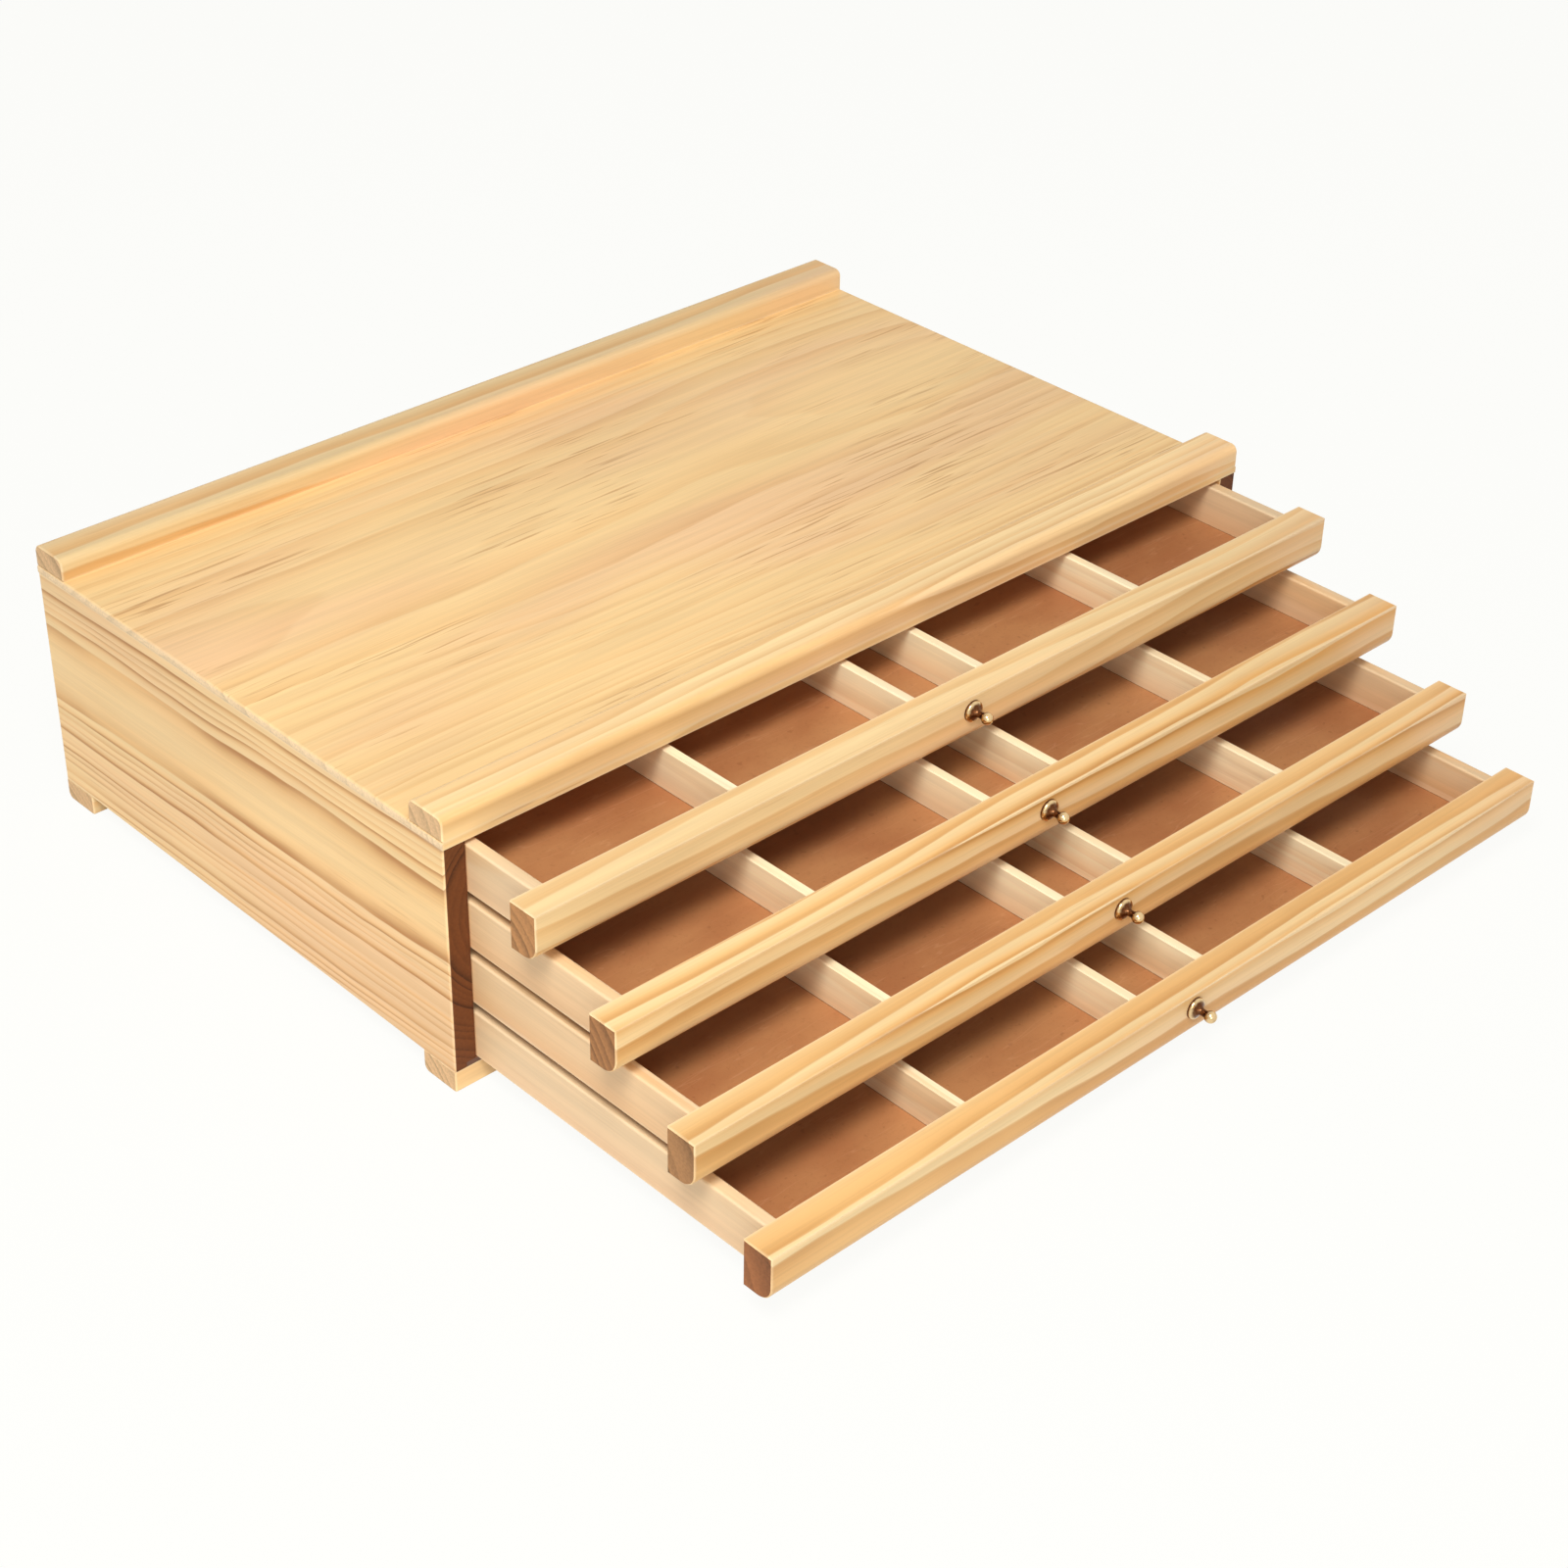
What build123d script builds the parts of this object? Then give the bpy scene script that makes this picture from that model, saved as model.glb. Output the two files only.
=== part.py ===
"""Pencil drawer box: a pine cabinet with shallow compartment drawers. Millimetres, +Z up.

The origin is the middle of the front foot rail's underside, on the table. X runs across
the front and the drawers slide out towards -Y. They stand at the photographed openings.
"""

import math
import os

from build123d import *

# Cabinet
cabinet_width = 400.0
cabinet_depth = 246.0
side_thickness = 9.0
top_thickness = 3.0
bottom_thickness = 2.0
back_thickness = 5.0
panel_rebate = 4.0  # how far the back and bottom panels reach into the sides
edge_round = 1.0  # sanded outer edges of the sides and the top

# The moulding that makes the two top rails and the two foot rails
rail_depth = 18.0
rail_height = 9.0
rail_round = 3.0
foot_front_round = 1.2
rail_end_ease = 0.5

# Drawer boxes, numbered from the top, with how far each one stands open
drawer_openings = (33.0, 71.5, 108.5, 144.0)
drawer_height = 18.8
drawer_depth = 232.0  # from the back of the front board to the rear of the box
drawer_side_thickness = 5.2
drawer_back_thickness = 5.0
drawer_edge_round = 0.9
side_clearance = 0.6
floor_thickness = 2.4
floor_rebate = 2.6  # width of the step in the drawer sides that holds the floor
floor_reach = 3.0  # how far the floor runs into the rebate behind the front board
divider_thickness = 4.0
divider_drop = 0.3  # the dividers stop just under the rim
divider_edge_ease = 0.5
middle_compartment = 31.0

# Runner strips between the drawers
runner_width = 5.0
runner_height = 3.5
runner_setback = 12.0
runner_ease = 0.8
slide_clearance = 0.3  # under a drawer
head_clearance = 0.4  # over a drawer, below the next runner
top_headroom = 1.9  # over the top drawer

# Front boards, as tall as the drawer boxes behind them
front_thickness = 13.0
front_end_inset = 0.5
front_seat = 0.4  # between a closed front board and the cabinet
front_upper_round = 0.8
front_lower_round = 6.5
front_heel_round = 1.5
front_end_ease = 0.4
tenon_length = 4.0
tenon_shoulder = 3.5  # the tenon's housing stops short of the top of the board

# Brass knob and the screw that holds it
knob_drop = 6.0  # from the top of the front board to the knob's centre
knob_length = 9.4
knob_base_radius = 4.2
knob_rim = 0.8
knob_neck_radius = 1.3
knob_neck_start = 3.3
knob_cove_radius = 2.0  # halfway down the flare from the neck to the foot
knob_head_radius = 2.3
knob_tip_angle = 18.0  # half the cone of the ball that its flat tip cuts off
knob_ball_steps = 4
screw_radius = 1.0
screw_clearance = 0.15
screw_head_radius = 2.3
screw_head_height = 1.3
screw_reach = 2.6  # how far the screw enters the knob

# Places that follow from the sizes above
half_width = cabinet_width / 2
front_y = -rail_depth / 2
rear_y = front_y + cabinet_depth
back_panel_y = rear_y - back_thickness
inner_x = half_width - side_thickness
rebate_x = inner_x + panel_rebate
inner_bottom = rail_height + bottom_thickness
drawer_count = len(drawer_openings)
drawer_pitch = drawer_height + slide_clearance + runner_height + head_clearance
stack_height = slide_clearance + (drawer_count - 1) * drawer_pitch + drawer_height
side_top = inner_bottom + stack_height + top_headroom
top_surface = side_top + top_thickness
front_x = half_width - front_end_inset
box_x = inner_x - side_clearance
box_inner_x = box_x - drawer_side_thickness
floor_x = box_inner_x + floor_rebate
dividers_per_drawer = 4
wide_compartments = 4  # two on either side of the middle one
wide_compartment = (
    2 * box_inner_x - middle_compartment - dividers_per_drawer * divider_thickness
) / wide_compartments
hole_radius = screw_radius + screw_clearance


def across(x):
    """Plane standing at x and facing +X: its sketches run along Y and Z."""
    return Plane.YZ.offset(x)


def facing(y):
    """Plane standing at y and facing -Y: its sketches run along X and Z."""
    return Plane.XZ.offset(-y)


def block(x_range, y_range, z_range, mode=Mode.ADD):
    """Extrude the rectangle between two X and two Y values from one height to another."""
    with BuildSketch(Plane.XY.offset(z_range[0])) as plan:
        with Locations((sum(x_range) / 2, sum(y_range) / 2)):
            Rectangle(x_range[1] - x_range[0], y_range[1] - y_range[0])
    extrude(plan.sketch, amount=z_range[1] - z_range[0], mode=mode)


def save(piece, name):
    """Label a finished piece with its node's name and write its STEP."""
    piece.part.label = name
    export_step(piece.part, f"parts/{name}.step")


def save_pair(left, name):
    """Write a left-hand piece and its mirror image."""
    save(left, name.format("left"))
    with BuildPart() as right:
        mirror(left.part, about=Plane.YZ)
    save(right, name.format("right"))


# ---------------------------------------------------------------- cabinet


def cabinet_side():
    """Left side panel, rebated inside for the bottom and the back panel."""
    with BuildPart() as side:
        with BuildSketch(facing(front_y)):
            with BuildLine():
                Polyline(
                    (-half_width, rail_height),
                    (-rebate_x, rail_height),
                    (-rebate_x, inner_bottom),
                    (-inner_x, inner_bottom),
                    (-inner_x, side_top),
                    (-half_width, side_top),
                    close=True,
                )
            make_face()
        extrude(amount=-cabinet_depth)
        block(
            (-rebate_x, -inner_x),
            (back_panel_y, rear_y),
            (inner_bottom, side_top),
            Mode.SUBTRACT,
        )
        outer = side.faces().sort_by(Axis.X)[0].edges()
        fillet(outer.filter_by(Axis.Z), radius=edge_round)
    return side


def sheet(x_reach, y_range, z_range):
    """Flat panel across the cabinet between two depths and two heights."""
    with BuildPart() as panel:
        block((-x_reach, x_reach), y_range, z_range)
    return panel


def top_sheet():
    """Top panel, lying over both sides, with its long side edges rounded."""
    with BuildPart() as panel:
        block((-half_width, half_width), (front_y, rear_y), (side_top, top_surface))
        upper = panel.faces().sort_by(Axis.Z)[-1].edges()
        fillet(upper.filter_by(Axis.Y), radius=edge_round)
    return panel


def rail(middle_y, base_z, upward, front_round):
    """Length of moulding across the cabinet, rounded on its free side."""
    with BuildPart() as strip:
        with BuildSketch(across(-half_width)) as profile:
            with Locations((middle_y, base_z + rail_height / 2)):
                Rectangle(rail_depth, rail_height)
            free = profile.vertices().group_by(Axis.Y)[-1 if upward else 0]
            fillet(free.sort_by(Axis.X)[0], radius=front_round)
            free = profile.vertices().group_by(Axis.X)[-1]
            fillet(free.sort_by(Axis.Y)[-1 if upward else 0], radius=rail_round)
        extrude(amount=cabinet_width)
        chamfer(strip.faces().filter_by(Axis.X).edges(), length=rail_end_ease)
    return strip


def runner(level):
    """Left runner strip under one drawer, with its leading upper edge eased."""
    top = drawer_base(level) - slide_clearance
    with BuildPart() as strip:
        block(
            (-inner_x, runner_width - inner_x),
            (front_y + runner_setback, back_panel_y),
            (top - runner_height, top),
        )
        lead = strip.faces().sort_by(Axis.Y)[0].edges().sort_by(Axis.Z)[-1]
        chamfer(lead, length=runner_ease)
    return strip


def build_cabinet():
    """Write every fixed piece of the cabinet."""
    save_pair(cabinet_side(), "{}_side_panel")
    save(top_sheet(), "top_panel")
    bottom = sheet(rebate_x, (front_y, rear_y), (rail_height, inner_bottom))
    save(bottom, "bottom_panel")
    back = sheet(rebate_x, (back_panel_y, rear_y), (inner_bottom, side_top))
    save(back, "back_panel")
    rear_rail_y = rear_y - rail_depth / 2
    save(rail(0, top_surface, True, rail_round), "front_top_rail")
    save(rail(rear_rail_y, top_surface, True, rail_round), "rear_top_rail")
    save(rail(0, 0, False, foot_front_round), "front_foot_rail")
    save(rail(rear_rail_y, 0, False, foot_front_round), "rear_foot_rail")
    for level in range(1, drawer_count):
        save_pair(runner(level), f"{{}}_runner_{level}")


# ---------------------------------------------------------------- drawers


def drawer_base(number):
    """Height of a drawer's underside, counted from the top drawer."""
    return inner_bottom + slide_clearance + (drawer_count - number) * drawer_pitch


def board_back(number):
    """Y of the back face of a drawer's front board, at the photographed opening."""
    return front_y - front_seat - drawer_openings[number - 1]


def front_board(number):
    """Front board: rounded below in front, housings and a floor rebate behind."""
    back = board_back(number)
    base = drawer_base(number)
    top = base + drawer_height
    with BuildPart() as board:
        with BuildSketch(across(-front_x)) as profile:
            with Locations((back - front_thickness / 2, (base + top) / 2)):
                Rectangle(front_thickness, drawer_height)
            low = profile.vertices().group_by(Axis.Y)[0].sort_by(Axis.X)
            high = profile.vertices().group_by(Axis.Y)[-1]
            fillet(low[0], radius=front_lower_round)
            fillet(low[1], radius=front_heel_round)
            fillet(high, radius=front_upper_round)
        extrude(amount=2 * front_x)
        chamfer(board.faces().filter_by(Axis.X).edges(), length=front_end_ease)
        depth = (back - tenon_length, back)
        for side in (-1, 1):
            walls = sorted((side * box_x, side * box_inner_x))
            block(walls, depth, (base, top - tenon_shoulder), Mode.SUBTRACT)
        block(
            (-floor_x, floor_x),
            (back - floor_reach, back),
            (base, base + floor_thickness),
            Mode.SUBTRACT,
        )
        with Locations(Plane(origin=(0, back, top - knob_drop), z_dir=(0, 1, 0))):
            CounterBoreHole(hole_radius, screw_head_radius + screw_clearance,
                            screw_head_height)
    return board


def drawer_side(number):
    """Left drawer side: rounded rim, stepped for the floor, with a tenon in front."""
    back = board_back(number)
    base = drawer_base(number)
    top = base + drawer_height
    with BuildPart() as side:
        with BuildSketch(facing(back)) as profile:
            with BuildLine():
                Polyline(
                    (-box_x, base),
                    (-floor_x, base),
                    (-floor_x, base + floor_thickness),
                    (-box_inner_x, base + floor_thickness),
                    (-box_inner_x, top),
                    (-box_x, top),
                    close=True,
                )
            make_face()
            rim = profile.vertices().group_by(Axis.Y)[-1]
            fillet(rim, radius=drawer_edge_round)
        extrude(amount=-drawer_depth)
        with BuildSketch(facing(back)):
            tenon_top = top - tenon_shoulder
            with BuildLine():
                Polyline(
                    (-box_x, base),
                    (-floor_x, base),
                    (-floor_x, base + floor_thickness),
                    (-box_inner_x, base + floor_thickness),
                    (-box_inner_x, tenon_top),
                    (-box_x, tenon_top),
                    close=True,
                )
            make_face()
        extrude(amount=tenon_length)
    return side


def drawer_back(number):
    """Rear wall, standing on the floor between the two sides."""
    rear = board_back(number) + drawer_depth
    base = drawer_base(number)
    with BuildPart() as wall:
        block(
            (-box_inner_x, box_inner_x),
            (rear - drawer_back_thickness, rear),
            (base + floor_thickness, base + drawer_height),
        )
        rim = wall.faces().sort_by(Axis.Z)[-1].edges().filter_by(Axis.X)
        fillet(rim, radius=drawer_edge_round)
    return wall


def drawer_floor(number):
    """Hardboard floor: let into the sides and the front board, under the rear wall."""
    back = board_back(number)
    base = drawer_base(number)
    with BuildPart() as floor:
        block(
            (-floor_x, floor_x),
            (back - floor_reach, back + drawer_depth),
            (base, base + floor_thickness),
        )
    return floor


def divider_middles():
    """X of each divider: two wide compartments on either side of the middle one."""
    step = wide_compartment + divider_thickness
    near = (middle_compartment + divider_thickness) / 2
    return (-near - step, -near, near, near + step)


def divider(number, middle_x):
    """Partition from the front board to the rear wall."""
    back = board_back(number)
    base = drawer_base(number)
    with BuildPart() as wall:
        block(
            (middle_x - divider_thickness / 2, middle_x + divider_thickness / 2),
            (back, back + drawer_depth - drawer_back_thickness),
            (base + floor_thickness, base + drawer_height - divider_drop),
        )
        rim = wall.faces().sort_by(Axis.Z)[-1].edges().filter_by(Axis.Y)
        chamfer(rim, length=divider_edge_ease)
    return wall


def knob(number):
    """Brass knob, turned in short straight cuts: flared foot, thin neck and ball head."""
    face = board_back(number) - front_thickness
    height = drawer_base(number) + drawer_height - knob_drop
    outward = Plane(origin=(0, face, height), x_dir=(0, -1, 0), z_dir=(1, 0, 0))
    tip = math.radians(knob_tip_angle)
    neck = math.pi - math.asin(knob_neck_radius / knob_head_radius)
    ball_x = knob_length - knob_head_radius * math.cos(tip)
    ball = []
    for step in range(knob_ball_steps + 1):
        turn = tip + (neck - tip) * step / knob_ball_steps
        out = knob_head_radius * math.cos(turn)
        ball.append((ball_x + out, knob_head_radius * math.sin(turn)))
    with BuildPart() as turned:
        with BuildSketch(outward):
            with BuildLine():
                Polyline(
                    (knob_length, 0),
                    *ball,
                    (knob_neck_start, knob_neck_radius),
                    ((knob_neck_start + knob_rim) / 2, knob_cove_radius),
                    (knob_rim, knob_base_radius),
                    (0, knob_base_radius),
                    (0, hole_radius),
                    (screw_reach, hole_radius),
                    (screw_reach, 0),
                    close=True,
                )
            make_face()
        revolve(axis=Axis((0, face, height), (0, -1, 0)))
    return turned


def knob_screw(number):
    """Flat-topped screw, sunk into the back of the front board and up into the knob."""
    back = board_back(number)
    height = drawer_base(number) + drawer_height - knob_drop
    with BuildPart() as screw:
        with BuildSketch(facing(back)):
            with Locations((0, height)):
                Circle(screw_head_radius)
        extrude(amount=screw_head_height)
        with BuildSketch(facing(back - screw_head_height)):
            with Locations((0, height)):
                Circle(screw_radius)
        extrude(amount=front_thickness + screw_reach - screw_head_height)
    return screw


def build_drawer(number):
    """Write every piece of one drawer."""
    prefix = f"drawer_{number}_"
    save(front_board(number), prefix + "front")
    save_pair(drawer_side(number), prefix + "{}_side")
    save(drawer_back(number), prefix + "back")
    save(drawer_floor(number), prefix + "floor")
    for place, middle_x in enumerate(divider_middles(), start=1):
        save(divider(number, middle_x), prefix + f"divider_{place}")
    save(knob(number), prefix + "knob")
    save(knob_screw(number), prefix + "knob_screw")


os.makedirs("parts", exist_ok=True)
build_cabinet()
for drawer_number in range(1, drawer_count + 1):
    build_drawer(drawer_number)
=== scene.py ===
"""Looks of a pine pencil drawer box: wood, hardboard and brass, turned knobs, stage and camera.

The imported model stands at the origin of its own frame, in metres, +Z up. X runs across the
front, and the drawers slide out towards -Y.
"""

import math
from typing import NamedTuple

import bpy
import numpy as np
from bpy.props import FloatProperty, FloatVectorProperty, IntProperty, PointerProperty
from mathutils import Matrix, Vector


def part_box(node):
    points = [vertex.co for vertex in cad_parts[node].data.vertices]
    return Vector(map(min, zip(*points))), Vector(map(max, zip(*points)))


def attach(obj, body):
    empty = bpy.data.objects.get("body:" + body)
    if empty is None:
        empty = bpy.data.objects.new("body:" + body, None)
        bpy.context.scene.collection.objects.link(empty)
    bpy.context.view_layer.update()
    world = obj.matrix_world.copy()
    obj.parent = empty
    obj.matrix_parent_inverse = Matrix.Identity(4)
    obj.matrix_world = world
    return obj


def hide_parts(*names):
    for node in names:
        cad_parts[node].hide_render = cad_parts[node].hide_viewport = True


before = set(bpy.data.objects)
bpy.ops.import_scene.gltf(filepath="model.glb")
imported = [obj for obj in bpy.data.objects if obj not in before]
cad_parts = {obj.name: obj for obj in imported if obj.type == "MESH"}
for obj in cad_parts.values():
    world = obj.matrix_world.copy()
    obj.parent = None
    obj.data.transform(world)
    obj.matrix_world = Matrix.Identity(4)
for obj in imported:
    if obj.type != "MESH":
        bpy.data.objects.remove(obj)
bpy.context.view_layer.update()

bl_info = {
    "name": "Pencil Drawer Box",
    "version": (1, 0, 0),
    "blender": (4, 5, 0),
    "location": "3D View > Sidebar > Drawer Box",
    "description": "Dresses a pine drawer box for pencils and sets up its studio",
    "category": "Object",
}

DRAWERS = (1, 2, 3, 4)
BAY_WALLS = (1, 2, 3, 4)  # dividers of each drawer
ALONG_X = "X"  # grain across the front
ALONG_Y = "Y"  # grain from front to back
MIX_SOCKETS = (0, 6, 7)  # factor and the two colours of a Mix node
MIX_RESULT = 2

# Tones of sawn ends, linear; those of the sides and of the drawer fronts have painted shade in
# them
RAIL_END = (0.76, 0.50, 0.27)
TOP_END = (0.93, 0.70, 0.44)
PALE_END = (0.66, 0.40, 0.20)
# painted shade: the sides' front edges are dark end grain, darkened further to stand in for the
# shade they lie in behind the drawers
SIDE_END_AND_SHADE = (0.155, 0.047, 0.012)
# painted light and shade: copies of one end grain, one for each drawer, the first drawer's
# palest and the fourth's darkest
FRONT_ENDS_AND_SHADE = (
    (0.52, 0.25, 0.095),
    (0.42, 0.19, 0.07),
    (0.42, 0.21, 0.085),
    (0.36, 0.135, 0.048),
)

# Tones of smaller marks, linear; the zinc lies between its two. The pale edges are worn wood
# with painted highlight on them, the dark corners are painted shade
RUBBED_WOOD_AND_HIGHLIGHT = (0.97, 0.83, 0.60)
RUBBED_BOARD = (0.72, 0.40, 0.22)
# painted shade in the corners where a drawer's walls stand on its floor
PAINTED_CORNER_SHADE = (0.07, 0.022, 0.008)
CUT_BOARD = (0.12, 0.045, 0.018)
ZINC = ((0.50, 0.50, 0.49), (0.68, 0.68, 0.66))

# Streaks of noise: waves per metre along the grain and across it
SLOW_BEND = (3.4, 12.0)
QUICK_RIPPLE = (16.0, 70.0)
PORE_PATCHES = (9.0, 26.0)
PORES = (30.0, 900.0)
FINE_FIBRE = (30.0, 1500.0)
COARSE_FIBRE = (7.0, 260.0)
WOOD_CLOUDS = (5.0, 19.0)
PINK_CLOUDS = (4.0, 17.0)
BOARD_CLOUDS = (16.0, 30.0)
BOARD_SCUFFS = (12.0, 150.0)

# Growth rings
BEND_GAIN = 2.4  # the slow noise stays well inside 0 to 1
RIPPLE_HEIGHT = 0.0022  # metres, of the quick ripple in a ring
RING_DRIFT = 0.31  # how quickly the width changes from ring to ring
RING_SPREAD = 2.2  # how much it changes
RING_RUNS = (9.0, 3.7)  # waves per metre and per ring in which a line comes and goes

# Knob
KNOB_TURNS = 48  # corners of each ring
FOOT_SHARE = 0.14  # of the length, where the rounded foot ends
NECK_SHARE = 0.40  # of the length, where the flare ends
FLARE_POWER = 2.4

# Studio, in metres and linear colour
STUDIO_WHITE = (1.0, 1.0, 0.975)
LAMP_TARGET = (0, 0, 0.05)
KEY_PLACE, KEY_SIZE, KEY_TINT = (-0.7, -0.5, 1.3), 0.55, (1.0, 0.985, 0.95)
FILL_PLACE, FILL_SIZE, FILL_TINT = (-1.1, -1.7, 0.75), 1.0, (1.0, 0.98, 0.95)
SKY_TINT = (1.0, 0.99, 0.97)
FLOOR_TONE = (0.80, 0.80, 0.79)
FLOOR_WHITENESS = 0.94  # share of the floor that the camera sees as plain white
FLOOR_CORNERS = 96
FLOOR_RINGS = (0.0005, 1.0, 4.0)


def colour(name, description, default):
    """Colour property, linear, without alpha."""
    return FloatVectorProperty(
        name=name, description=description, subtype="COLOR", size=3, min=0, max=1,
        default=default,
    )


class PineFinish(bpy.types.PropertyGroup):
    """Colours of the pine and the relief of its grain."""

    board: colour("Board", "Pale early wood between the grain lines", (0.90, 0.625, 0.300))
    side: colour("Side panel", "Warm boards of the two sides", (0.98, 0.70, 0.35))
    pale: colour("Pale strip", "Bare walls of the drawers", (0.80, 0.585, 0.355))
    # painted light: the dividers' wood is a paler copy of the drawer walls' wood, standing in
    # for the light on their faces
    lit_cream: colour("Cream strip", "Palest wood, of the dividers", (1.0, 0.86, 0.58))
    rail: colour("Rail", "Front boards and rails, a little yellower", (0.94, 0.69, 0.36))
    warm: colour("Warm band", "Wood that darkens towards a grain line", (0.83, 0.43, 0.12))
    line: colour("Grain line", "Late wood, seen as lines", (0.50, 0.21, 0.05))
    dash: colour("Dash", "Short cut pores of the top", (0.52, 0.255, 0.085))
    blush: colour("Blush", "Faint pink clouds in the board", (0.87, 0.54, 0.31))
    gloss: FloatProperty(
        name="Roughness", description="Roughness of the satin finish",
        min=0, max=1, default=0.42,
    )
    relief: FloatProperty(
        name="Relief", description="Height of the grain lines over the board",
        subtype="DISTANCE", default=0.00006,
    )


class HardboardFinish(bpy.types.PropertyGroup):
    """Colours of the pressed fibre panels."""

    face: colour("Face", "Smooth upper face", (0.53, 0.248, 0.100))
    cloud: colour("Cloud", "Darker, redder clouds in the face", (0.42, 0.165, 0.064))
    fibre: colour("Fibre", "Dark fibres pressed into the face", (0.22, 0.070, 0.022))
    gloss: FloatProperty(
        name="Roughness", description="Roughness of the pressed face",
        min=0, max=1, default=0.45,
    )


class BrassFinish(bpy.types.PropertyGroup):
    """Colours of the turned brass, and the knob's sizes."""

    bright: colour("Bright", "Polished metal", (0.80, 0.57, 0.30))
    # painted dark reflection and shade, with some tarnish: the dark bands on the knob stand in
    # for dark surroundings mirrored in the brass
    aged_and_dark_reflection: colour("Aged", "Metal that has darkened", (0.13, 0.045, 0.016))
    gloss: FloatProperty(
        name="Roughness", description="Roughness of the polish",
        min=0, max=1, default=0.10,
    )
    length: FloatProperty(
        name="Length", description="From the front board to the tip of the ball",
        subtype="DISTANCE", default=0.0094,
    )
    foot: FloatProperty(
        name="Foot radius", description="Radius of the flared foot on the board",
        subtype="DISTANCE", default=0.0042,
    )
    neck: FloatProperty(
        name="Neck radius", description="Radius of the thin neck behind the ball",
        subtype="DISTANCE", default=0.0013,
    )
    ball: FloatProperty(
        name="Ball radius", description="Radius of the ball head",
        subtype="DISTANCE", default=0.0023,
    )


class Studio(bpy.types.PropertyGroup):
    """Camera and light."""

    eye: FloatVectorProperty(
        name="Eye", description="Place of the camera", subtype="TRANSLATION",
        default=(-0.6669, -0.6559, 0.6519),
    )
    focal_pixels: FloatProperty(
        name="Focal length in pixels", description="Over an image 1600 pixels wide",
        default=3033.3,
    )
    image_pixels: IntProperty(
        name="Image width", description="Width of the photographed frame in pixels",
        default=1600,
    )
    key: FloatProperty(
        name="Key light", description="Power of the high lamp at the left",
        subtype="POWER", default=19.0,
    )
    fill: FloatProperty(
        name="Fill light", description="Power of the low wide lamp at the front left",
        subtype="POWER", default=10.0,
    )
    sky: FloatProperty(
        name="Sky", description="Strength of the even light from all round", default=0.28,
    )


# ------------------------------------------------------------------ node trees


class Graph:
    """Node tree under construction: adds nodes, sets their inputs and links them."""

    def __init__(self, tree):
        self.tree = tree
        self.column = 0

    def add(self, kind, inputs=None, **settings):
        """New node; inputs maps a socket's name or number to a value or a socket."""
        made = self.tree.nodes.new(kind)
        made.location = (180 * self.column, 0)
        self.column += 1
        for name, value in settings.items():
            setattr(made, name, value)
        for name, value in (inputs or {}).items():
            self.feed(made.inputs[name], value)
        return made

    def feed(self, socket, value):
        """Link a socket to another, or set its own value."""
        if isinstance(value, bpy.types.NodeSocket):
            self.tree.links.new(value, socket)
        elif socket.type == "RGBA" and len(value) == 3:
            socket.default_value = (*value, 1.0)
        else:
            socket.default_value = value

    def math(self, operation, *values, clamp=False):
        """Result of one Math node."""
        numbered = dict(enumerate(values))
        return self.add(
            "ShaderNodeMath", numbered, operation=operation, use_clamp=clamp
        ).outputs[0]

    def vector(self, operation, *values, result="Vector"):
        """Result of one Vector Math node."""
        numbered = dict(enumerate(values))
        made = self.add("ShaderNodeVectorMath", numbered, operation=operation)
        return made.outputs[result]

    def noise(self, place, scale, detail=2.0, roughness=0.5, distortion=0.0):
        """Soft noise from 0 to 1."""
        made = self.add(
            "ShaderNodeTexNoise",
            {"Vector": place, "Scale": scale, "Detail": detail,
             "Roughness": roughness, "Distortion": distortion},
        )
        return made.outputs["Fac"]

    def steps(self, value, low, high, new_low=0.0, new_high=1.0):
        """Smooth rise of a value between two bounds."""
        return self.add(
            "ShaderNodeMapRange",
            {"Value": value, "From Min": low, "From Max": high,
             "To Min": new_low, "To Max": new_high},
            interpolation_type="SMOOTHSTEP",
        ).outputs["Result"]

    def mix(self, share, first, second, blend="MIX"):
        """Mixed colour."""
        made = self.add("ShaderNodeMix", data_type="RGBA", blend_type=blend)
        for number, value in zip(MIX_SOCKETS, (share, first, second)):
            self.feed(made.inputs[number], value)
        return made.outputs[MIX_RESULT]

    def group(self, maker, **values):
        """A shared node group in place; its inputs are named with spaces as underscores."""
        named = {label.replace("_", " ").capitalize(): value
                 for label, value in values.items()}
        return self.add("ShaderNodeGroup", named, node_tree=shared_group(maker)).outputs

    def streaks(self, place, waves, detail=2.0, roughness=0.5):
        """Soft noise with its waves per metre along X, and across it."""
        along, across = waves
        scaled = self.vector("MULTIPLY", place, (along, across, across))
        return self.noise(scaled, 1.0, detail=detail, roughness=roughness)


def group_sockets(name, inputs, outputs):
    """Empty node group with its sockets, and the Graph, inputs and outputs to fill it."""
    kinds = {"f": "NodeSocketFloat", "v": "NodeSocketVector", "c": "NodeSocketColor"}
    tree = bpy.data.node_groups.new(name, "ShaderNodeTree")
    for label, kind, default in inputs:
        socket = tree.interface.new_socket(
            label, in_out="INPUT", socket_type=kinds[kind]
        )
        socket.default_value = (*default, 1.0) if kind == "c" else default
    for label, kind in outputs:
        tree.interface.new_socket(label, in_out="OUTPUT", socket_type=kinds[kind])
    graph = Graph(tree)
    given = graph.add("NodeGroupInput").outputs
    result = tree.nodes.new("NodeGroupOutput")
    return tree, graph, given, result


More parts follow.
